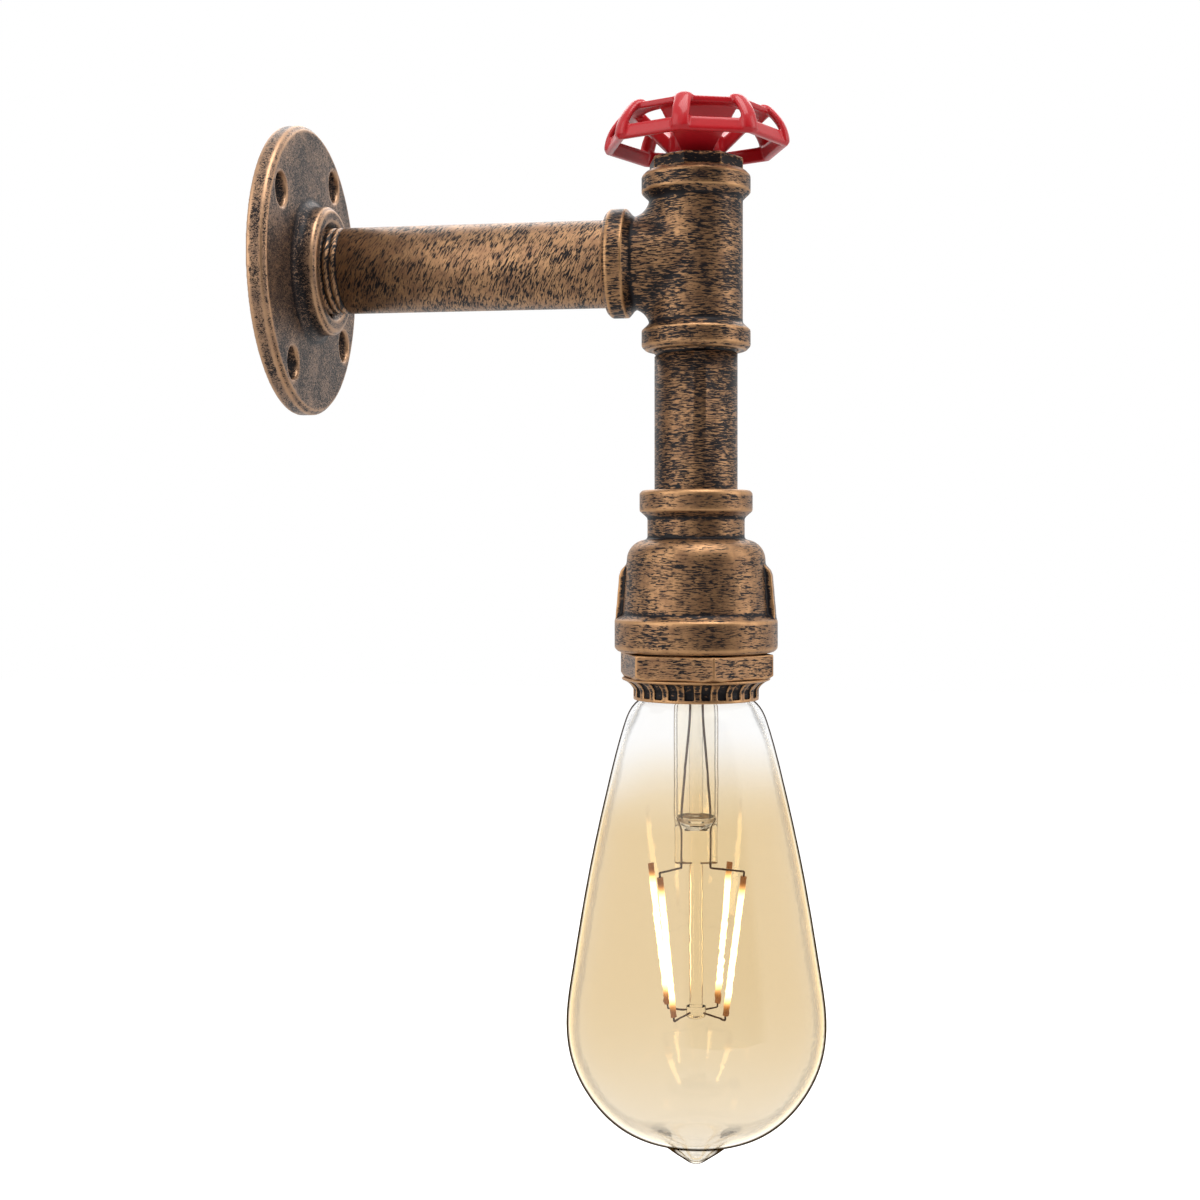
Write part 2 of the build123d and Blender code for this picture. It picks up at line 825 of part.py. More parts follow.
with BuildPart() as earth_terminal:
    terminal_block(wire_pitch)
    with BuildSketch(lamp_level(holder_top)):
        with Locations((wire_pitch + terminal_width / 2 + chamber_radius / 2, -wire_set_back)):
            Rectangle(chamber_radius, terminal_depth / 2)
        Circle(chamber_radius - slip_gap, mode=Mode.INTERSECT)
    extrude(amount=terminal_strap)

clamp_foot = arm_reach + wire_set_back + conductor_radius
block_front = arm_reach + wire_set_back + terminal_depth / 2

with BuildPart() as terminal_screws:
    for across in (-wire_pitch, 0, wire_pitch):
        with BuildSketch(Plane.XZ.offset(clamp_foot)) as shank:
            with Locations((across, holder_top + clamp_height)):
                Circle(terminal_screw_radius)
        extrude(shank.sketch, amount=block_front - clamp_foot)
        with BuildSketch(Plane.XZ.offset(block_front)) as head:
            with Locations((across, holder_top + clamp_height)):
                Circle(terminal_screw_head_radius)
        extrude(head.sketch, amount=terminal_screw_head)
        with BuildSketch(Plane.XZ.offset(block_front + terminal_screw_head / 2)) as slot:
            with Locations((across, holder_top + clamp_height)):
                Rectangle(3 * terminal_screw_head_radius, terminal_screw_head / 3)
        extrude(slot.sketch, amount=terminal_screw_head, mode=Mode.SUBTRACT)

# ---- Wires: they lie on the arm's floor, turn down in the tee and end in the terminals ----

wire_line = -arm_reach - wire_set_back
wire_end = holder_top + terminal_height
floor_reach = arm_bore - wire_radius - slip_gap


def supply_wire(across):
    """One insulated wire, with its bare end in its terminal."""
    rest_height = -sqrt(floor_reach ** 2 - across ** 2)
    round_wire(
        [
            (across, -wire_back_gap, rest_height),
            (across, wire_line, rest_height),
            (across, wire_line, wire_end),
        ],
        wire_radius,
        wire_bend,
    )
    with BuildSketch(Plane((across, wire_line, wire_end))) as strand:
        Circle(conductor_radius)
    extrude(strand.sketch, amount=-conductor_length)


with BuildPart() as live_wire:
    supply_wire(0)

with BuildPart() as neutral_wire:
    supply_wire(-wire_pitch)

with BuildPart() as earth_wire:
    supply_wire(wire_pitch)

# ---- Bulb cap: a thin rolled shell with its thread, the insulator and the centre contact ----

with BuildPart() as bulb_cap:
    turn_about_lamp(
        (cap_lip, cap_top),
        (cap_core_radius, cap_top),
        (cap_core_radius, cap_flare_top),
        (cap_skirt_radius, cap_flare_top - cap_flare),
        (cap_skirt_radius, cap_foot),
        (cap_skirt_radius - cap_wall, cap_foot),
        (cap_skirt_radius - cap_wall, cap_flare_top - cap_flare - cap_wall / 2),
        (cap_core_radius - cap_wall, cap_flare_top - cap_wall / 2),
        (cap_core_radius - cap_wall, cap_top - cap_wall),
        (cap_lip, cap_top - cap_wall),
    )
    cap_start = lamp_level(cap_ridge_start)
    helical(cap_start, cap_thread_length, edison_pitch, cap_core_radius, ridge_out, Mode.ADD)

insulator_ledge = cap_top - cap_wall - slip_gap
insulator_foot = insulator_ledge - insulator_plug

with BuildPart() as bulb_insulator:
    turn_about_lamp(
        (0, insulator_top),
        (insulator_top_radius, insulator_top),
        (cap_lip - slip_gap, cap_top + insulator_lip),
        (cap_lip - slip_gap, insulator_ledge),
        (cap_core_radius - cap_wall - slip_gap, insulator_ledge),
        (cap_core_radius - cap_wall - slip_gap, insulator_foot),
        (0, insulator_foot),
    )

with BuildPart() as bulb_centre_contact:
    with BuildSketch(lamp_level(insulator_top)):
        Circle(tip_contact_radius)
    extrude(amount=tip_contact_height)
    fillet(bulb_centre_contact.faces().sort_by(Axis.Z)[-1].edges(), tip_contact_height * 0.6)

# ---- Bulb glass: a neck inside the cap, a rounded shoulder, a pear-shaped envelope ----

bulb_widest = ring_foot - bulb_widest_drop
bulb_foot = ring_foot - bulb_depth
shoulder_height = ring_foot - bulb_shoulder_drop
side_span = shoulder_height - bulb_widest
foot_span = bulb_widest - bulb_foot


def side_point(share, bulge):
    """A point on the envelope's side, from the shoulder (0) to the widest place (1)."""
    radius = bulb_shoulder_radius + share * (bulb_radius - bulb_shoulder_radius) + bulge
    return (radius, shoulder_height - share * side_span)


def foot_point(share, drop):
    """A point on the envelope's foot, by its share of the widest radius and of the foot's depth."""
    return (share * bulb_radius, bulb_widest - drop * foot_span)


neck_end = (neck_glass_radius, cap_foot - neck_glass_drop)
envelope_points = [
    (ring_lip_radius - glass_mouth_gap, ring_foot),
    (bulb_shoulder_radius - bulb_shoulder_round, shoulder_height + bulb_shoulder_rise),
    side_point(0, 0),
    side_point(0.18, 1.0),
    side_point(0.52, 1.6),
    side_point(0.84, 1.0),
    side_point(1, 0),
    foot_point(0.962, 0.31),
    foot_point(0.841, 0.59),
    foot_point(0.619, 0.85),
    foot_point(0.394, 0.96),
]

with BuildPart() as bulb_glass:
    with BuildSketch(lamp_profile) as outer_section:
        with BuildLine():
            Line((neck_glass_radius, cap_foot + neck_glass_rise), neck_end)
            Line(neck_end, envelope_points[0])
            outer = Spline(*envelope_points)
            Spline(
                outer @ 1,
                (seal_tip_radius, bulb_foot - 0.3),
                (seal_tip_radius * 0.66, bulb_foot - seal_tip_height * 0.45),
                (seal_tip_radius * 0.3, bulb_foot - seal_tip_height * 0.84),
                (0, bulb_foot - seal_tip_height),
                tangents=(outer % 1, (-1, 0)),
            )
            Polyline(
                (0, bulb_foot - seal_tip_height),
                (0, cap_foot + neck_glass_rise),
                (neck_glass_radius, cap_foot + neck_glass_rise),
            )
        make_face()
    revolve(outer_section.sketch, axis=lamp_axis)
    inner_points = [
        outer @ share + (outer % share).rotate(Axis.Z, -90) * glass_wall
        for share in [step / 12 for step in range(13)]
    ]
    neck_inside = neck_glass_radius - glass_wall
    with BuildSketch(lamp_profile) as inner_section:
        with BuildLine():
            Polyline(
                (0, cap_foot + neck_glass_rise),
                (neck_inside, cap_foot + neck_glass_rise),
                (neck_inside, cap_foot - neck_glass_drop),
                inner_points[0],
            )
            inner = Spline(*inner_points)
            floor_height = bulb_foot + glass_wall
            Spline(inner @ 1, (0, floor_height), tangents=(inner % 1, (-1, 0)))
            Line((0, floor_height), (0, cap_foot + neck_glass_rise))
        make_face()
    revolve(inner_section.sketch, axis=lamp_axis, mode=Mode.SUBTRACT)

# ---- Inside the bulb: glass stem, wires, filament sticks and the driver board ----

stem_top = ring_foot + stem_rise
stem_foot = stem_top - stem_length
pinch_top = stem_foot - pinch_blend
pinch_foot = pinch_top - pinch_height
rod_foot = ring_foot - rod_drop
board_top = insulator_foot
board_foot = board_top - board_height
exhaust_top = board_foot - exhaust_gap
lead_front = exhaust_radius + lead_radius + seat_gap
bulb_frame = Plane((0, -arm_reach, 0), x_dir=Vector(0, -1, 0).rotate(Axis.Z, lamp_turn), z_dir=(0, 0, 1))


def bulb_point(across, back, height):
    """A point in the bulb's own directions: across its pinch, back from its front, and up."""
    return bulb_frame.from_local_coords(Vector(across, back, height))


def bulb_level(height):
    """A level plane turned with the bulb."""
    return Plane(bulb_point(0, 0, height), x_dir=bulb_frame.x_dir, z_dir=(0, 0, 1))


def filament_end(turn, reach, height):
    """An end of a filament stick, by its angle and reach from the bulb's axis."""
    return bulb_point(reach * cos(radians(turn)), reach * sin(radians(turn)), height)


with BuildPart() as bulb_stem:
    rim = neck_inside - slip_gap
    turn_about_lamp(
        (rim, stem_top + stem_flare_rise),
        (rim, stem_top + stem_flare_rise - stem_wall),
        (stem_radius, stem_top),
        (stem_radius, stem_foot),
        (stem_radius - stem_wall, stem_foot),
        (stem_radius - stem_wall, stem_top + stem_wall),
        (rim - 2 * stem_wall, stem_top + stem_flare_rise),
    )
    with BuildSketch(bulb_level(stem_foot)):
        Circle(stem_radius)
    with BuildSketch(bulb_level(pinch_top)):
        RectangleRounded(pinch_width, pinch_thickness, pinch_thickness / 3)
    loft()
    with BuildSketch(bulb_level(pinch_foot)):
        RectangleRounded(pinch_width, pinch_thickness, pinch_thickness / 3)
    extrude(amount=pinch_height)
    with BuildSketch(lamp_level(rod_foot)):
        Circle(exhaust_radius)
    extrude(amount=exhaust_top - rod_foot)
    with BuildSketch(lamp_level(rod_foot)):
        Circle(button_radius)
    extrude(amount=button_height)
    button_rim = bulb_stem.faces().sort_by(Axis.Z)[0].edges()
    fillet(button_rim, button_radius / 3)
    for side in (-1, 1):
        with BuildSketch(bulb_level(pinch_foot)) as lead_hole:
            with Locations((side * lead_spread, 0)):
                Circle(lead_radius + slip_gap)
        extrude(lead_hole.sketch, amount=stem_foot - pinch_foot, mode=Mode.SUBTRACT)

with BuildPart() as bulb_lead_wires:
    for side in (-1, 1):
        round_wire(
            [
                bulb_point(side * lead_spread_top, -lead_front, board_foot),
                bulb_point(side * lead_spread_top, -lead_front, stem_top),
                bulb_point(side * lead_spread, 0, stem_foot + 1),
                bulb_point(side * lead_spread, 0, pinch_foot - lead_end),
            ],
            lead_radius,
            lead_bend,
        )

with BuildPart() as bulb_driver_board:
    board_place = bulb_point(0, -lead_front, board_foot)
    board_plane = Plane(board_place, x_dir=bulb_frame.x_dir, z_dir=(0, 0, 1))
    with BuildSketch(board_plane):
        Rectangle(board_width, board_thickness)
    extrude(amount=board_height)
    with BuildSketch(board_plane.offset(board_height / 4)):
        with Locations((-board_width / 4, board_thickness * 2)):
            Circle(board_thickness * 2)
        with Locations((board_width / 4, -board_thickness)):
            Rectangle(board_width / 4, board_thickness)
    extrude(amount=board_height / 2)

filament_top = ring_foot - filament_top_drop
filament_foot = ring_foot - filament_foot_drop
sticks = []
for index in range(filament_count):
    turn = filament_start + index * 360 / filament_count
    stick_top = filament_end(turn, filament_top_reach, filament_top)
    stick_foot = filament_end(turn, filament_foot_reach, filament_foot)
    sticks.append((stick_top, stick_foot))

with BuildPart() as led_filaments:
    for top, foot in sticks:
        with BuildSketch(Plane(top, z_dir=foot - top)) as stick:
            Circle(filament_radius)
        extrude(stick.sketch, amount=(foot - top).length)

with BuildPart() as filament_supports_top:
    for index, (top, foot) in enumerate(sticks):
        side = 1 if index % 4 in (0, 1) else -1
        along = (foot - top).normalized()
        start = bulb_point(side * lead_spread, 0, pinch_foot - lead_end)
        bend = bulb_point(side * lead_spread, 0, pinch_foot - lead_end - support_start)
        round_wire([start, bend, top - along * support_hook, top], support_radius, support_radius)

with BuildPart() as filament_supports_foot:
    for top, foot in sticks:
        along = (foot - top).normalized()
        outwards = Vector(foot.X, foot.Y + arm_reach, 0).normalized()
        start = Vector(0, -arm_reach, rod_foot + button_height / 2) + outwards * (button_radius + slip_gap)
        round_wire([start, foot + along * support_hook, foot], support_radius, support_radius)

# ---- Written pieces ----

finish(wall_flange.part, "wall_flange")
finish(arm_pipe.part, "arm_pipe")
finish(tee.part, "tee")
finish(top_plug.part, "top_plug")
finish(wheel_spring_washer.part, "wheel_spring_washer")
finish(wheel_washer.part, "wheel_washer")
finish(wheel_screw.part, "wheel_screw")
finish(wheel_lock_nut.part, "wheel_lock_nut")
finish(handwheel.part, "handwheel")
finish(drop_pipe.part, "drop_pipe")
finish(bell_reducer.part, "bell_reducer")
finish(hex_bush.part, "hex_bush")
finish(fluted_ring.part, "fluted_ring")
finish(holder_body.part, "holder_body")
finish(holder_shell.part, "holder_shell")
finish(holder_centre_contact.part, "holder_centre_contact")
finish(live_terminal.part, "live_terminal")
finish(neutral_terminal.part, "neutral_terminal")
finish(earth_terminal.part, "earth_terminal")
finish(terminal_screws.part, "terminal_screws")
finish(live_wire.part, "live_wire")
finish(neutral_wire.part, "neutral_wire")
finish(earth_wire.part, "earth_wire")
finish(bulb_cap.part, "bulb_cap")
finish(bulb_insulator.part, "bulb_insulator")
finish(bulb_centre_contact.part, "bulb_centre_contact")
finish(bulb_glass.part, "bulb_glass")
finish(bulb_stem.part, "bulb_stem")
finish(bulb_lead_wires.part, "bulb_lead_wires")
finish(bulb_driver_board.part, "bulb_driver_board")
finish(led_filaments.part, "led_filaments")
finish(filament_supports_top.part, "filament_supports_top")
finish(filament_supports_foot.part, "filament_supports_foot")
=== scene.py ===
# %% [markdown]
# # Industrial pipe wall light
#
# This lesson dresses a wall light made of iron pipe fittings: a round wall flange, a pipe arm, a
# tee with a red valve wheel on top, a drop pipe, a bell reducer with the lampholder inside, and a
# pear-shaped amber bulb. The shapes come from a CAD model, which is loaded first as a fixed frame.
# Blender adds what the eye judges: soft cast edges, brushed paint, glossy enamel and clear glass.

import json
import math

import bmesh
import bpy
import numpy as np
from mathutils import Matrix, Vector

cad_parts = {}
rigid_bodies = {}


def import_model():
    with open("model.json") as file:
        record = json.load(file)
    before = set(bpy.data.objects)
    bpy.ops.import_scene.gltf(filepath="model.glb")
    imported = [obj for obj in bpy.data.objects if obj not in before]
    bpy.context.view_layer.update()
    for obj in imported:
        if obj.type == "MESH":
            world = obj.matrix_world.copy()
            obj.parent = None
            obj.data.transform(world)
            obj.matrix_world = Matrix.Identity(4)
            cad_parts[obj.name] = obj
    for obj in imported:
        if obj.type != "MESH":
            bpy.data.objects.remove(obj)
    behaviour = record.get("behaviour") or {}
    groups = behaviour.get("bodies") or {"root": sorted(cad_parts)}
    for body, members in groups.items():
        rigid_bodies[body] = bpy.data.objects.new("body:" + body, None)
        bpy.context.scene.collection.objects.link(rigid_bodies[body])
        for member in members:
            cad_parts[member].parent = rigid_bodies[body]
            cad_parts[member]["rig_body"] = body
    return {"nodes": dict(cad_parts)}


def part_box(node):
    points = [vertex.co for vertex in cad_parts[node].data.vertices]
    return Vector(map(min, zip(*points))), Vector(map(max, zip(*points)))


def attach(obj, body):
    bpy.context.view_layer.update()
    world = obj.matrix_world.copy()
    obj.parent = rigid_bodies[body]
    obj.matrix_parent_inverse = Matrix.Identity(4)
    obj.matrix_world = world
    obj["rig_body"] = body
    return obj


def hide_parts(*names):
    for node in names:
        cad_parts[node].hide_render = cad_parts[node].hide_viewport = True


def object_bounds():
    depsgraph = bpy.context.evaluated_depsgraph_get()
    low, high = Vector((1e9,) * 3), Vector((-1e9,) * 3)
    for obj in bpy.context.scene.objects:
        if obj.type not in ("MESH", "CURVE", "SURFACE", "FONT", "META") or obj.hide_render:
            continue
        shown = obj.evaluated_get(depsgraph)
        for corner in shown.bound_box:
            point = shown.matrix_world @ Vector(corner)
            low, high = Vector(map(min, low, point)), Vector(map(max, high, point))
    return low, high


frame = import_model()
nodes = frame["nodes"]
cad_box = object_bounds()
MM = 0.001
print("The frame holds", len(nodes), "pieces, and its box is", cad_box)

# %% [markdown]
# ## Small helpers
#
# Colours are written as sRGB hex values, as a picture editor shows them, and one function turns
# them to the linear values that shaders use. They could be picked by eye in the editor, but then
# the file wouldn't say what they are. A second function adds a shader node. Each input is a plain
# value, another node or one output of a node, so a material reads from top to bottom. A third
# starts an empty material.


# %% Helpers for colours and shader nodes
def linear(hex_colour):
    """The linear colour, with alpha, of an sRGB hex value such as #9c6f48."""
    channels = [int(hex_colour[place:place + 2], 16) / 255 for place in (1, 3, 5)]
    return [*(c / 12.92 if c <= 0.04045 else ((c + 0.055) / 1.055) ** 2.4 for c in channels), 1.0]


def add_node(tree, kind, inputs=None, **settings):
    """Adds a node, gives it its settings and fills its inputs with values, nodes or their outputs."""
    made = tree.nodes.new(kind)
    for name, value in settings.items():
        setattr(made, name, value)
    for name, value in (inputs or {}).items():
        if isinstance(value, bpy.types.Node):
            value = next(output for output in value.outputs if output.enabled)
        if isinstance(value, bpy.types.NodeSocket):
            tree.links.new(value, made.inputs[name])
        else:
            made.inputs[name].default_value = value
    return made


def new_material(name):
    """An empty material and its node tree."""
    material = bpy.data.materials.new(name)
    material.use_nodes = True
    material.node_tree.nodes.clear()
    return material, material.node_tree


print("A copper brown, #9c6f48, is", [round(part, 3) for part in linear("#9c6f48")[:3]], "in linear light")

# %% [markdown]
# ## Where the lamp hangs
#
# The upright pieces share one axis. Its place could be typed in, but it is read from the drop
# pipe's box, so that the camera and the floor follow when the CAD model changes.

# %% The lamp's upright axis
drop_low, drop_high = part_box("drop_pipe")
axis_x = (drop_low.x + drop_high.x) / 2
axis_y = (drop_low.y + drop_high.y) / 2
print("The lamp's axis stands at", round(axis_x / MM, 2), round(axis_y / MM, 2), "mm")

# %% [markdown]
# ## Camera
#
# The photograph was taken from the side, a little in front of the wall, with the lens level with
# the bell reducer. Its upright pipes stay parallel, so the camera looks level, and a small shift of
# the lens brings the whole lamp into the square frame. Tilting the camera would make the pipes
# lean. The frame is 1200 pixels wide. The focal length in pixels and the scale on the lamp's axis
# give the distance, and the place of the axis in the frame says how far the camera stands to its
# side. The height of the eye follows from the row in which the arm's own axis meets the lamp's.

# %% Camera at the photograph's viewpoint
FRAME_PIXELS = 1200
SENSOR_MM = 36.0
focal_pixels = 1763
pixels_per_mm = 4.05
axis_pixel = 696
arm_pixel = 262.05
horizon_pixel = 550
eye_height = (arm_pixel - horizon_pixel) / pixels_per_mm
view_turn = math.radians(9.2)

ahead = Vector((math.cos(view_turn), math.sin(view_turn), 0))
to_the_right = Vector((math.sin(view_turn), -math.cos(view_turn), 0))
distance = focal_pixels / pixels_per_mm
sideways = (axis_pixel - FRAME_PIXELS / 2) / pixels_per_mm

camera = bpy.data.objects.new("camera", bpy.data.cameras.new("camera"))
bpy.context.scene.collection.objects.link(camera)
eye = Vector((axis_x, axis_y, eye_height * MM))
camera.location = eye - ahead * distance * MM - to_the_right * sideways * MM
camera.rotation_mode = "QUATERNION"
camera.rotation_quaternion = ahead.to_track_quat("-Z", "Y")
camera.data.sensor_width = SENSOR_MM
camera.data.lens = focal_pixels / FRAME_PIXELS * SENSOR_MM
camera.data.shift_y = -(FRAME_PIXELS / 2 - horizon_pixel) / FRAME_PIXELS
camera.data.clip_start = 0.01
camera.data.clip_end = 50
bpy.context.scene.camera = camera
bpy.context.scene.view_settings.view_transform = "Standard"
print("The camera stands", round(distance), "mm away with a", round(camera.data.lens, 1), "mm lens")

# %% [markdown]
# ## White sweep
#
# A product photographer would hang the lamp in front of a white paper sweep. A large white board
# could stand for it, but it would have to be kept out of every other view, so the world itself is
# the sweep. The eye, mirrors and glass see it at full white, while it lights the object at a lower,
# plain level.

# %% White world
WORLD_LEVEL = 0.5
world = bpy.data.worlds.new("white_sweep")
bpy.context.scene.world = world
world.use_nodes = True
tree = world.node_tree
tree.nodes.clear()
path = add_node(tree, "ShaderNodeLightPath")
seen = add_node(tree, "ShaderNodeMath", {
    0: path.outputs["Is Camera Ray"], 1: path.outputs["Is Transmission Ray"]}, operation="MAXIMUM")
seen = add_node(tree, "ShaderNodeMath", {0: seen, 1: path.outputs["Is Glossy Ray"]}, operation="MAXIMUM")
level = add_node(tree, "ShaderNodeMapRange", {"Value": seen, "To Min": WORLD_LEVEL, "To Max": 1.0})
sky = add_node(tree, "ShaderNodeBackground", {"Color": linear("#ffffff"), "Strength": level})
add_node(tree, "ShaderNodeOutputWorld", {"Surface": sky})
print("The world is white to the eye and lights the lamp at", WORLD_LEVEL)

# %% [markdown]
# ## Pale floor
#
# The sweep's paper runs on under the lamp, catches its soft shadow and sends some light back up. A
# shadow catcher could do this too, but a plain pale floor is simpler and also lights the lamp. It
# glows just enough for the eye that no line shows where it meets the world, and glass and shiny
# paint see it at full white, like the rest of the room.

# %% Floor below the lamp
FLOOR_DROP = 0.12
FLOOR_HALF = 3.0
FLOOR_GLOW = 0.7
floor_mesh = bpy.data.meshes.new("floor")
grid = bmesh.new()
bmesh.ops.create_grid(grid, x_segments=1, y_segments=1, size=FLOOR_HALF)
bmesh.ops.translate(grid, verts=grid.verts, vec=(axis_x, axis_y, cad_box[0].z - FLOOR_DROP))
grid.to_mesh(floor_mesh)
grid.free()
floor = bpy.data.objects.new("floor", floor_mesh)
bpy.context.scene.collection.objects.link(floor)

floor_paint, tree = new_material("white_studio_floor")
path = add_node(tree, "ShaderNodeLightPath")
fill = add_node(tree, "ShaderNodeMath", {
    0: path.outputs["Is Camera Ray"], 1: FLOOR_GLOW}, operation="MULTIPLY")
matt = add_node(tree, "ShaderNodeBsdfDiffuse", {"Color": linear("#d8d8d8")})
glow = add_node(tree, "ShaderNodeEmission", {"Color": linear("#ffffff"), "Strength": fill})
both = add_node(tree, "ShaderNodeAddShader", {0: matt, 1: glow})
mirrored = add_node(tree, "ShaderNodeMath", {
    0: path.outputs["Is Transmission Ray"], 1: path.outputs["Is Glossy Ray"]}, operation="MAXIMUM")
plain = add_node(tree, "ShaderNodeEmission", {"Color": linear("#ffffff"), "Strength": 1.0})
surface = add_node(tree, "ShaderNodeMixShader", {0: mirrored, 1: both, 2: plain})
add_node(tree, "ShaderNodeOutputMaterial", {"Surface": surface})
floor_mesh.materials.append(floor_paint)
print("The floor lies", FLOOR_DROP, "m below the bulb's tip")

# %% [markdown]
# ## Soft lights
#
# A large soft light stands on the left and a smaller one on the right. One hangs above, and one
# behind the lamp draws a bright line along its top edges. Small bulbs would light the pipes too, but
# they would leave hard spots on the paint. In clear glass even soft lights show as bright
# rectangles, so light linking keeps them out of the bulb, as a photographer would with flags.

# %% Four soft lights
middle = (cad_box[0] + cad_box[1]) / 2
LIGHT_REACH = 1.1
TOP_REACH = 1.0
glassware = bpy.data.collections.new("glassware")
for place, node in enumerate(("bulb_glass", "bulb_stem")):
    glassware.objects.link(nodes[node])
    glassware.collection_objects[place].light_linking.link_state = "EXCLUDE"


def studio_place(bearing, height, reach):
    """A place in metres from the lamp's middle: bearing 0 is behind the camera, 90 to its right."""
    turn = math.radians(bearing)
    lift = math.radians(height)
    level_way = -ahead * math.cos(turn) + to_the_right * math.sin(turn)
    return (level_way * math.cos(lift) + Vector((0, 0, math.sin(lift)))) * reach


def soft_light(name, way, width, tall, watts):
    """A rectangular soft light that faces the lamp and draws no bright shape in its glass."""
    data = bpy.data.lights.new(name, "AREA")
    data.shape = "RECTANGLE"
    data.size = width
    data.size_y = tall
    data.energy = watts
    light = bpy.data.objects.new(name, data)
    bpy.context.scene.collection.objects.link(light)
    light.location = middle + way
    light.rotation_mode = "QUATERNION"
    light.rotation_quaternion = (-way).to_track_quat("-Z", "Y")
    light.light_linking.receiver_collection = glassware
    print(name, "is", width, "by", tall, "m and gives", watts, "W")


soft_light("left_softbox", studio_place(-60, 20, LIGHT_REACH), 0.8, 1.2, 6)
soft_light("right_softbox", studio_place(80, 15, LIGHT_REACH), 0.4, 1.2, 4)
soft_light("top_softbox", studio_place(30, 74, TOP_REACH), 0.7, 0.7, 9)
soft_light("rim_softbox", studio_place(180, 42, LIGHT_REACH), 1.2, 0.5, 5)

# %% [markdown]
# ## The dark room behind the camera
#
# The room behind the camera is dark, a little to its right, and its reflection is the dark band that
# runs down every upright pipe. Modelling the room would also take its light away from the rest of
# the lamp. A card that only shiny surfaces see stands for it instead. It is dark in its middle and
# fades to white, so that the clear glass shows no edge of it.

# %% A dark card for reflections
CARD_WIDTH = 1.5
CARD_HEIGHT = 2.6
CARD_FADE = 0.55
card_mesh = bpy.data.meshes.new("dark_card")
card = bmesh.new()
bmesh.ops.create_grid(card, x_segments=1, y_segments=1, size=0.5)
bmesh.ops.scale(card, verts=card.verts, vec=(CARD_WIDTH, CARD_HEIGHT, 1))
card.to_mesh(card_mesh)
card.free()
dark_card = bpy.data.objects.new("dark_card", card_mesh)
bpy.context.scene.collection.objects.link(dark_card)
card_way = studio_place(24, 0, 0.9)
dark_card.location = middle + card_way
dark_card.rotation_mode = "QUATERNION"
dark_card.rotation_quaternion = (-card_way).to_track_quat("Z", "Y")
for ray in ("camera", "diffuse", "transmission", "volume_scatter", "shadow"):
    setattr(dark_card, f"visible_{ray}", False)

card_paint, tree = new_material("dark_card_paint")
on_card = add_node(tree, "ShaderNodeMapping", {
    "Vector": add_node(tree, "ShaderNodeTexCoord").outputs["Object"],
    "Scale": (CARD_WIDTH / 2, CARD_HEIGHT / 2, 1)}, vector_type="TEXTURE")
from_centre = add_node(tree, "ShaderNodeVectorMath", {0: on_card}, operation="LENGTH").outputs["Value"]
fade = add_node(tree, "ShaderNodeMapRange", {
    "Value": from_centre, "From Min": CARD_FADE, "From Max": 1.0}, interpolation_type="SMOOTHSTEP")
card_tone = add_node(tree, "ShaderNodeMix", {
    0: fade, 6: linear("#1c1a19"), 7: linear("#ffffff")}, data_type="RGBA")
dark = add_node(tree, "ShaderNodeEmission", {"Color": card_tone, "Strength": 1.0})
add_node(tree, "ShaderNodeOutputMaterial", {"Surface": dark})
card_mesh.materials.append(card_paint)
print("The dark card is", CARD_WIDTH, "by", CARD_HEIGHT, "m")

# %% [markdown]
# ## Dry-brushed paint
#
# The iron is sprayed satin black, and then a nearly dry brush of copper paint is dragged over it.
# The bristles leave copper on everything that stands proud and skip the hollows, so corners carry copper
# and the roots of threads stay black. Between the two the copper is broken by short black strokes.
# A photograph of such paint would show its seams on the pipes, so the strokes are a pattern in space. A
# noise that is stretched along the stroke is cut off at a level, below which the black shows. The level
# rises in some patches, where the brush was drier. A mesh attribute called relief, measured below, lowers
# it on corners and raises it in hollows. The relief also makes the copper brighter on corners, which is
# partly thicker paint and partly a painted highlight.

# %% Dry-brushed copper over black paint
PATCH_MM = 7.0
DRY_PATCH = (-0.05, 0.06)
RELIEF_PULL = -0.3
STROKE_FADE = 0.1
TONE_MM = 4.0


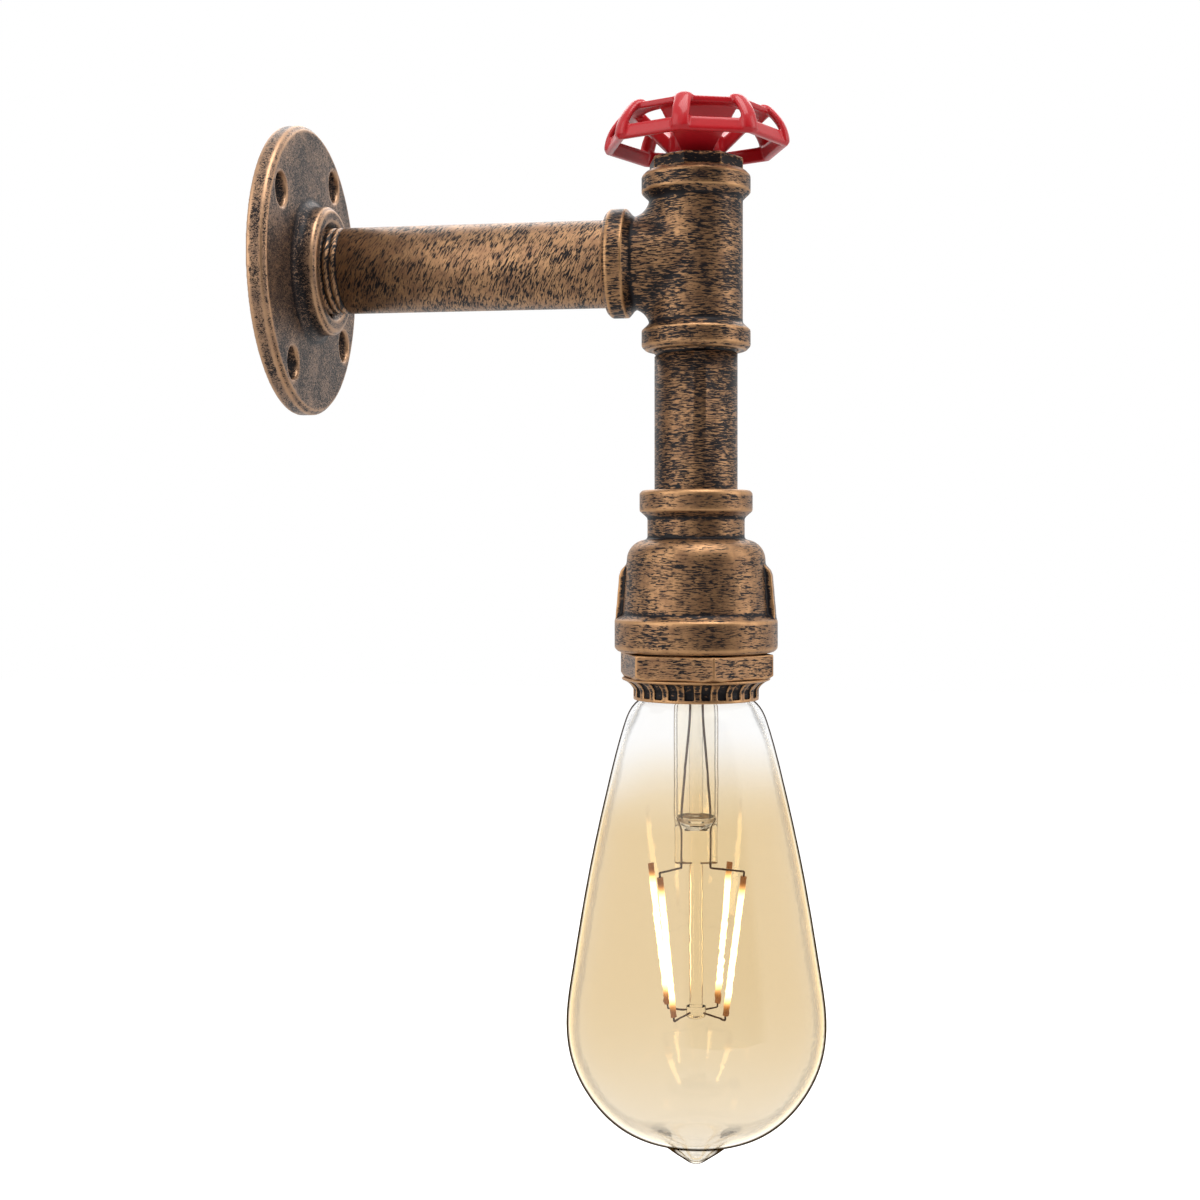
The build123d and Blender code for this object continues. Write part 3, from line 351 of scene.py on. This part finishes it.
def dry_brushed(name, across, line_mm, stroke_mm, black_share=0.46, copper="#78583f", bright="#ad845c",
                wander=0.6):
    """Copper brushed over black: strokes line_mm wide across the brushing and stroke_mm long."""
    material, tree = new_material(name)
    place = add_node(tree, "ShaderNodeTexCoord").outputs["Object"]
    relief = add_node(tree, "ShaderNodeAttribute", attribute_name="relief").outputs["Fac"]
    # The cut-off level: higher in dry patches and hollows
    patches = add_node(tree, "ShaderNodeTexNoise", {
        "Vector": place, "Scale": 1 / (PATCH_MM * MM), "Detail": 2.0, "Roughness": 0.55})
    dryness = add_node(tree, "ShaderNodeMapRange", {
        "Value": patches, "From Min": 0.3, "From Max": 0.7,
        "To Min": black_share + DRY_PATCH[0], "To Max": black_share + DRY_PATCH[1]})
    level = add_node(tree, "ShaderNodeMath", {
        0: relief, 1: RELIEF_PULL, 2: dryness}, operation="MULTIPLY_ADD")
    full = add_node(tree, "ShaderNodeMath", {0: level, 1: STROKE_FADE}, operation="ADD")
    # The bristles' strokes, cut off at that level
    strokes = add_node(tree, "ShaderNodeMapping", {
        "Vector": place, "Rotation": Vector(across).to_track_quat("Z", "Y").to_euler(),
        "Scale": (stroke_mm * MM, stroke_mm * MM, line_mm * MM)}, vector_type="TEXTURE")
    bristle = add_node(tree, "ShaderNodeTexNoise", {
        "Vector": strokes, "Scale": 1.0, "Detail": 3.0, "Roughness": 0.62, "Distortion": wander})
    coat = add_node(tree, "ShaderNodeMapRange", {"Value": bristle, "From Min": level, "From Max": full})
    # The copper's tone: it varies at random, and it is brighter on corners, partly thicker paint and
    # partly a painted highlight
    tone = add_node(tree, "ShaderNodeTexNoise", {
        "Vector": place, "Scale": 1 / (TONE_MM * MM), "Detail": 4.0, "Roughness": 0.7})
    tone_and_corner_highlight = add_node(tree, "ShaderNodeMath", {0: relief, 1: 0.5, 2: tone}, operation="MULTIPLY_ADD")
    tone_and_highlight_share = add_node(tree, "ShaderNodeMapRange", {"Value": tone_and_corner_highlight, "From Min": 0.35, "From Max": 0.85})
    copper_colour = add_node(tree, "ShaderNodeMix", {
        0: tone_and_highlight_share, 6: linear(copper), 7: linear(bright)}, data_type="RGBA")
    colour = add_node(tree, "ShaderNodeMix", {
        0: coat, 6: linear("#171416"), 7: copper_colour}, data_type="RGBA")
    metal = add_node(tree, "ShaderNodeMath", {0: coat, 1: 0.8}, operation="MULTIPLY")
    sheen = add_node(tree, "ShaderNodeMapRange", {"Value": coat, "To Min": 0.12, "To Max": 0.4})
    bump = add_node(tree, "ShaderNodeBump", {"Strength": 0.25, "Distance": 0.05 * MM, "Height": coat})
    surface = add_node(tree, "ShaderNodeBsdfPrincipled", {
        "Base Color": colour, "Metallic": metal, "Roughness": 0.42, "Specular IOR Level": sheen,
        "Normal": bump})
    add_node(tree, "ShaderNodeOutputMaterial", {"Surface": surface})
    print(name, "has strokes of", line_mm, "by", stroke_mm, "mm")
    return material


UPRIGHT = (0, 0, 1)
ARM_SLANT = (0, 0.89, 0.45)
paint_upright = dry_brushed("dry_brushed_upright", UPRIGHT, 0.3, 2.0, black_share=0.48)
paint_bell = dry_brushed("dry_brushed_reducer", UPRIGHT, 0.3, 2.0, black_share=0.43)
paint_plug = dry_brushed("dry_brushed_plug", UPRIGHT, 0.4, 1.4, black_share=0.6)
paint_arm = dry_brushed("dry_brushed_arm", ARM_SLANT, 0.34, 1.9, black_share=0.42, copper="#86644a",
                        bright="#b88f66")
paint_flange = dry_brushed("dry_brushed_flange", UPRIGHT, 0.45, 0.7, black_share=0.47, copper="#7a6150",
                           bright="#ab8768", wander=1.6)

# %% [markdown]
# ## Cast iron fittings
#
# Sand-cast fittings have no sharp edges: the mould rounds them, and two coats of paint round them
# more. A bevel would have to be set edge by edge and fails where blends run out. So a copy of each
# CAD solid is welded, rebuilt as an even mesh and relaxed once, which rounds every edge by about a
# quarter of a millimetre and leaves flats and barrels where they were.

# %% Soft copies of the cast pieces
def welded_copy(node, paint):
    """A welded copy of a CAD node that stands for the node and moves with it."""
    merged = bmesh.new()
    merged.from_mesh(nodes[node].data)
    bmesh.ops.remove_doubles(merged, verts=merged.verts, dist=0.002 * MM)
    mesh = bpy.data.meshes.new(f"{node}_painted")
    merged.to_mesh(mesh)
    merged.free()
    mesh.materials.append(paint)
    piece = bpy.data.objects.new(f"{node}_painted", mesh)
    bpy.context.scene.collection.objects.link(piece)
    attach(piece, nodes[node]["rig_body"])
    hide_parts(node)
    return piece


def soften(piece, grain_mm, rounds):
    """Rebuilds a piece as an even mesh of grain_mm squares and relaxes its edges."""
    paint = piece.data.materials[0]
    even = piece.modifiers.new("even_mesh", "REMESH")
    even.mode = "VOXEL"
    even.voxel_size = grain_mm * MM
    relaxed = piece.modifiers.new("soft_edges", "SMOOTH")
    relaxed.factor = 0.5
    relaxed.iterations = rounds
    evaluated = piece.evaluated_get(bpy.context.evaluated_depsgraph_get())
    piece.data = bpy.data.meshes.new_from_object(evaluated)
    piece.modifiers.clear()
    piece.data.shade_smooth()
    piece.data.materials.clear()
    piece.data.materials.append(paint)
    print(piece.name, len(piece.data.polygons), "faces")


# %% [markdown]
# ## Relief of the castings
#
# The brush touches what stands out. The shader's own pointiness finds corners too, but its width
# can't be set, so the relief is measured here and stored in the mesh. Each point of a casting is
# compared with a blurred copy of the same mesh: a corner lies outside it and a groove lies inside
# it. The distance is stored from -1 in a groove to 1 on a corner, and the paint reads it. The blur
# is narrow on the fittings, for thin bright edges, and wide on the fluted ring, whose whole flutes
# stay black.

# %% Measure and store the relief
def mark_relief(piece, full_mm, rounds):
    """Stores how far each point stands out of a blurred copy of the mesh, 1 for full_mm."""
    mesh = piece.data
    count = len(mesh.vertices)
    sharp = np.empty(count * 3, np.float32)
    normals = np.empty(count * 3, np.float32)
    mesh.vertices.foreach_get("co", sharp)
    mesh.vertices.foreach_get("normal", normals)
    blurred = bmesh.new()
    blurred.from_mesh(mesh)
    for _ in range(rounds):
        bmesh.ops.smooth_vert(blurred, verts=blurred.verts, factor=0.5,
                              use_axis_x=True, use_axis_y=True, use_axis_z=True)
    smooth = np.array([v.co for v in blurred.verts], np.float32).ravel()
    blurred.free()
    out = ((sharp - smooth) * normals).reshape(-1, 3).sum(axis=1) / (full_mm * MM)
    relief = mesh.attributes.new("relief", "FLOAT", "POINT")
    relief.data.foreach_set("value", np.clip(out, -1, 1).astype(np.float32))


# Node, grain of the even mesh in mm, rounds of relaxing, full relief in mm, rounds of blur, paint
cast_pieces = [
    ("wall_flange", 0.38, 1, 0.07, 4, paint_flange),
    ("tee", 0.34, 1, 0.07, 4, paint_upright),
    ("top_plug", 0.28, 1, 0.07, 4, paint_plug),
    ("bell_reducer", 0.36, 1, 0.07, 4, paint_bell),
    ("hex_bush", 0.3, 1, 0.07, 4, paint_bell),
    ("fluted_ring", 0.2, 1, 0.12, 30, paint_upright),
]
for node, grain_mm, rounds, full_mm, blur_rounds, paint in cast_pieces:
    casting = welded_copy(node, paint)
    soften(casting, grain_mm, rounds)
    mark_relief(casting, full_mm, blur_rounds)

# %% [markdown]
# ## Threaded pipes
#
# The arm and the drop pipe are plain steel tubes, and the edges of their threads are crisp. An even
# mesh would blunt them, so the pipes keep the CAD model's own faces. The brush skips the thread's
# grooves. How deep a point lies in a groove is its distance from the pipe's wall, and that is the
# relief here.

# %% Pipes with black thread grooves
GROOVE_MM = 1.2
CREASE = math.radians(30)


def mark_grooves(pipe, centre, axis, full_mm):
    """Stores a relief of -1 at full_mm below the pipe's outer wall and 0 on the wall."""
    mesh = pipe.data
    points = np.empty(len(mesh.vertices) * 3, np.float32)
    mesh.vertices.foreach_get("co", points)
    across = np.delete(points.reshape(-1, 3) - np.array(centre, np.float32), axis, axis=1)
    radius = np.sqrt((across ** 2).sum(axis=1))
    depth = (radius.max() - radius) / (full_mm * MM)
    relief = mesh.attributes.new("relief", "FLOAT", "POINT")
    relief.data.foreach_set("value", -np.clip(depth, 0, 1).astype(np.float32))


for node, paint, axis in (("arm_pipe", paint_arm, 1), ("drop_pipe", paint_upright, 2)):
    pipe = welded_copy(node, paint)
    pipe_low, pipe_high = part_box(node)
    mark_grooves(pipe, (pipe_low + pipe_high) / 2, axis, GROOVE_MM)
    pipe.data.shade_smooth()
    pipe.data.set_sharp_from_angle(angle=CREASE)
    print(pipe.name, len(pipe.data.polygons), "faces")

# %% [markdown]
# ## Red enamel wheel
#
# The valve wheel is an iron casting dipped in thick gloss enamel. The enamel flows round every
# edge, so this copy is relaxed more than the fittings. Its colour is a deep red. One glossy surface
# would mix the shine into the colour, so a clear coat lies over a duller base, as on car paint.

# %% Glossy red enamel
enamel, tree = new_material("red_enamel")
gloss = add_node(tree, "ShaderNodeBsdfPrincipled", {
    "Base Color": linear("#a8121b"), "Roughness": 0.4, "Specular IOR Level": 0.15,
    "Coat Weight": 0.35, "Coat Roughness": 0.1})
add_node(tree, "ShaderNodeOutputMaterial", {"Surface": gloss})
soften(welded_copy("handwheel", enamel), 0.3, 7)

# %% [markdown]
# ## Glass with a dark outline
#
# At the outline of a blown bulb the eye looks along the wall, and the long way through the glass, which
# bends the darker room into view, reads as a dark line. A glass shader alone would need many bounces to
# find it, so the line is painted shade: the layer weight says how far a wall turns away from the eye. Just
# inside the line the glass would mirror the white room and turn pale, where a thin wall keeps its tint, so
# there the shader changes over to a plain tinted one. That one tints by its whole colour and the glass
# only by the root of it, so it gets the root. Shadow rays pass through it too, so the bulb casts a light
# shadow.

# %% Glass shader
RIM_START = 0.6


def seen_through(hex_colour, walls):
    """The glass colour whose tint, after that many walls, is the colour that is written."""
    return [channel ** (1 / walls) for channel in linear(hex_colour)]


def glass_shader(tree, colour, outline, line_from, line_full, painted_line_colour, line_seen):
    """Clear glass that turns to a plain tint and then to a painted dark line, a painted shade, where
    outline rises to 1.
    """
    glass = add_node(tree, "ShaderNodeBsdfPrincipled", {
        "Base Color": colour, "Roughness": 0.0, "IOR": 1.5, "Transmission Weight": 1.0})
    path = add_node(tree, "ShaderNodeLightPath")
    rim = add_node(tree, "ShaderNodeMapRange", {
        "Value": outline, "From Min": RIM_START, "From Max": line_from})
    share = add_node(tree, "ShaderNodeMath", {
        0: path.outputs["Is Shadow Ray"], 1: rim}, operation="MAXIMUM")
    # The dark line at the outline is painted shade, for the darker room that the wall bends into view
    line = add_node(tree, "ShaderNodeMapRange", {
        "Value": outline, "From Min": line_from, "From Max": line_full})
    line = add_node(tree, "ShaderNodeMath", {0: line, 1: line_seen}, operation="MULTIPLY")
    plain = add_node(tree, "ShaderNodeGamma", {"Color": colour, "Gamma": 0.5})
    way = add_node(tree, "ShaderNodeMix", {
        0: line, 6: plain.outputs[0], 7: linear(painted_line_colour)}, data_type="RGBA")
    open_way = add_node(tree, "ShaderNodeBsdfTransparent", {"Color": way})
    mixed = add_node(tree, "ShaderNodeMixShader", {0: share, 1: glass, 2: open_way})
    add_node(tree, "ShaderNodeOutputMaterial", {"Surface": mixed})


def dress(node, material):
    """Gives a CAD piece its material."""
    nodes[node].data.materials.clear()
    nodes[node].data.materials.append(material)


print("A glass wall turns plain from a layer weight of", RIM_START)

# %% [markdown]
# ## Amber bulb
#
# The bulb is blown clear and then coated inside with a gold tint, which fades out towards the neck
# in a soft, cloudy edge and is a little thinner at the foot. It could be one colour, but the clear
# neck shows the wires. Light crosses the wall twice on its way through the bulb, so the colour set
# here is the root of the one the eye sees. The outline is wider at the foot, where the wall is
# thickest, and it is drawn only on the first wall that the eye meets, because a second line on the
# inner face would double it.

# %% Amber coated glass
glass_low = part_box("bulb_glass")[0]
ring_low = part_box("fluted_ring")[0]
TINT_START = 6 * MM
TINT_FULL = 31 * MM
CLOUD_SIZE = 35 * MM
CLOUD_SWING = 16 * MM
THIN_FROM = 42 * MM
THIN_FULL = 4 * MM
FOOT_TINT = 0.55
FOOT_LINE = 16 * MM
FOOT_LINE_GAIN = 0.05
amber, tree = new_material("amber_coated_glass")
place = add_node(tree, "ShaderNodeTexCoord").outputs["Object"]
height = add_node(tree, "ShaderNodeSeparateXYZ", {0: place}).outputs["Z"]
cloud = add_node(tree, "ShaderNodeTexNoise", {"Vector": place, "Scale": 1 / CLOUD_SIZE, "Detail": 1.0})
uneven = add_node(tree, "ShaderNodeMath", {0: cloud, 1: CLOUD_SWING, 2: height}, operation="MULTIPLY_ADD")
tint_top = ring_low.z + CLOUD_SWING / 2
tint = add_node(tree, "ShaderNodeMapRange", {
    "Value": uneven, "From Min": tint_top - TINT_START, "From Max": tint_top - TINT_FULL},
    interpolation_type="SMOOTHSTEP")
thinner = add_node(tree, "ShaderNodeMapRange", {
    "Value": height, "From Min": glass_low.z + THIN_FROM, "From Max": glass_low.z + THIN_FULL,
    "To Min": 1.0, "To Max": FOOT_TINT}, interpolation_type="SMOOTHSTEP")
tint = add_node(tree, "ShaderNodeMath", {0: tint, 1: thinner}, operation="MULTIPLY")
colour = add_node(tree, "ShaderNodeMix", {
    0: tint, 6: linear("#ffffff"), 7: seen_through("#e6cb9c", 2)}, data_type="RGBA").outputs[2]

facing = add_node(tree, "ShaderNodeLayerWeight", {"Blend": 0.5}).outputs["Facing"]
foot = add_node(tree, "ShaderNodeMapRange", {
    "Value": height, "From Min": glass_low.z + FOOT_LINE, "From Max": glass_low.z,
    "To Max": FOOT_LINE_GAIN})
outline = add_node(tree, "ShaderNodeMath", {0: facing, 1: foot}, operation="ADD")
path = add_node(tree, "ShaderNodeLightPath")
first_wall = add_node(tree, "ShaderNodeMath", {
    0: path.outputs["Transparent Depth"], 1: 0.5}, operation="LESS_THAN")
line_seen = add_node(tree, "ShaderNodeMath", {
    0: first_wall, 1: path.outputs["Is Camera Ray"]}, operation="MULTIPLY")
# The bulb's outline is painted shade in dark brown
glass_shader(tree, colour, outline, 0.77, 0.85, "#2e210f", line_seen)
dress("bulb_glass", amber)
print("The bulb's tint is full", round(TINT_FULL / MM), "mm below the ring")

# %% [markdown]
# ## Glass stem
#
# The stem that carries the filaments is a clear glass tube, pinched flat at its foot. It is a little
# yellow, as old lamp glass is. The same shader serves, but here both walls of the tube get a line,
# because its two faces are far apart and both show in the photograph.

# %% Clear stem glass
clear, tree = new_material("clear_stem_glass")
facing = add_node(tree, "ShaderNodeLayerWeight", {"Blend": 0.5}).outputs["Facing"]
path = add_node(tree, "ShaderNodeLightPath")
line_seen = add_node(tree, "ShaderNodeMath", {
    0: 1.0, 1: path.outputs["Is Shadow Ray"]}, operation="SUBTRACT")
# The stem's outline is painted shade in brown
glass_shader(tree, seen_through("#fff8ea", 2), facing, 0.72, 0.86, "#7d6444", line_seen)
dress("bulb_stem", clear)
print("The stem is clear glass with both its walls outlined")

# %% [markdown]
# ## Glowing filaments
#
# Each filament is a thin glass strip with a row of small lamps under yellow phosphor. It glows
# nearly white, and its last few millimetres stay dark orange, because no lamp lies under them. Each
# stick could be cut into a bright and two dark pieces, but the glow fades, so its strength follows
# the height.

# %% Glowing sticks
stick_low, stick_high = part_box("led_filaments")
DARK_END = 1.2 * MM
GLOW_EDGE = 4.6 * MM
END_GLOW = 0.2
FULL_GLOW = 5.0
phosphor, tree = new_material("glowing_phosphor")
place = add_node(tree, "ShaderNodeTexCoord").outputs["Object"]
height = add_node(tree, "ShaderNodeSeparateXYZ", {0: place}).outputs["Z"]
level = add_node(tree, "ShaderNodeMath", {
    0: height, 1: (stick_low.z + stick_high.z) / 2}, operation="SUBTRACT")
from_middle = add_node(tree, "ShaderNodeMath", {0: level}, operation="ABSOLUTE")
half_length = (stick_high.z - stick_low.z) / 2
lit = add_node(tree, "ShaderNodeMapRange", {
    "Value": from_middle, "From Min": half_length - DARK_END,
    "From Max": half_length - DARK_END - GLOW_EDGE}, interpolation_type="SMOOTHSTEP")
strength = add_node(tree, "ShaderNodeMapRange", {"Value": lit, "To Min": END_GLOW, "To Max": FULL_GLOW})
glow_colour = add_node(tree, "ShaderNodeMix", {
    0: lit, 6: linear("#c07a2c"), 7: linear("#ffe6b0")}, data_type="RGBA")
stick = add_node(tree, "ShaderNodeBsdfPrincipled", {
    "Base Color": linear("#7a4a1c"), "Roughness": 0.4,
    "Emission Color": glow_colour, "Emission Strength": strength})
add_node(tree, "ShaderNodeOutputMaterial", {"Surface": stick})
dress("led_filaments", phosphor)
print("A stick is", round(2 * half_length / MM, 1), "mm tall and fades over", GLOW_EDGE / MM, "mm")

# %% [markdown]
# ## Metals, plastics and wires
#
# The wheel's screw and washers are zinc-plated, the lampholder has brass terminals and nickel-plated
# shells in a black moulded body, and the wires have coloured insulation. Each could have a material
# of its own making, but they differ only in colour, metal and gloss. So one recipe makes them all:
# one colour and a fine, uneven surface, whose roughness varies with the grain. The earth wire's
# yellow stripes are left out, because the pipe hides it.

# %% Plain finishes
GRAIN_MM = 0.6
GRAIN_DEPTH = 0.02 * MM
ROUGHNESS_SWING = 0.08


def plain_finish(name, hex_colour, metallic, roughness):
    """A finish of one colour with a fine, uneven surface."""
    material, tree = new_material(name)
    place = add_node(tree, "ShaderNodeTexCoord").outputs["Object"]
    grain = add_node(tree, "ShaderNodeTexNoise", {
        "Vector": place, "Scale": 1 / (GRAIN_MM * MM), "Detail": 2.0})
    rough = add_node(tree, "ShaderNodeMapRange", {
        "Value": grain, "To Min": roughness - ROUGHNESS_SWING, "To Max": roughness + ROUGHNESS_SWING})
    bump = add_node(tree, "ShaderNodeBump", {"Strength": 0.3, "Distance": GRAIN_DEPTH, "Height": grain})
    surface = add_node(tree, "ShaderNodeBsdfPrincipled", {
        "Base Color": linear(hex_colour), "Metallic": metallic, "Roughness": rough, "Normal": bump})
    add_node(tree, "ShaderNodeOutputMaterial", {"Surface": surface})
    return material


zinc = plain_finish("zinc_plated_steel", "#c9c7c0", 1.0, 0.35)
brass = plain_finish("turned_brass", "#d8b56a", 1.0, 0.3)
nickel = plain_finish("nickel_plate", "#cfc8bb", 1.0, 0.28)
wire_metal = plain_finish("oxidised_nickel_wire", "#4a3423", 1.0, 0.4)
thermoset = plain_finish("moulded_thermoset", "#221f1d", 0.0, 0.5)
cap_glass = plain_finish("black_cap_glass", "#141416", 0.0, 0.2)
board = plain_finish("printed_circuit_board", "#d9d2bd", 0.0, 0.5)
insulation = {
    "live_wire": plain_finish("brown_insulation", "#5b3420", 0.0, 0.45),
    "neutral_wire": plain_finish("blue_insulation", "#2a5fa8", 0.0, 0.45),
    "earth_wire": plain_finish("green_and_yellow_insulation", "#8fae2c", 0.0, 0.45),
}
for node, material in insulation.items():
    dress(node, material)
finishes = {
    zinc: ["wheel_spring_washer", "wheel_washer", "wheel_screw", "wheel_lock_nut"],
    brass: ["holder_centre_contact", "live_terminal", "neutral_terminal", "earth_terminal"],
    nickel: ["holder_shell", "terminal_screws", "bulb_cap", "bulb_centre_contact"],
    wire_metal: ["bulb_lead_wires", "filament_supports_top", "filament_supports_foot"],
    thermoset: ["holder_body"],
    cap_glass: ["bulb_insulator"],
    board: ["bulb_driver_board"],
}
for material, members in finishes.items():
    for node in members:
        dress(node, material)
    print(material.name, "is on", ", ".join(members))
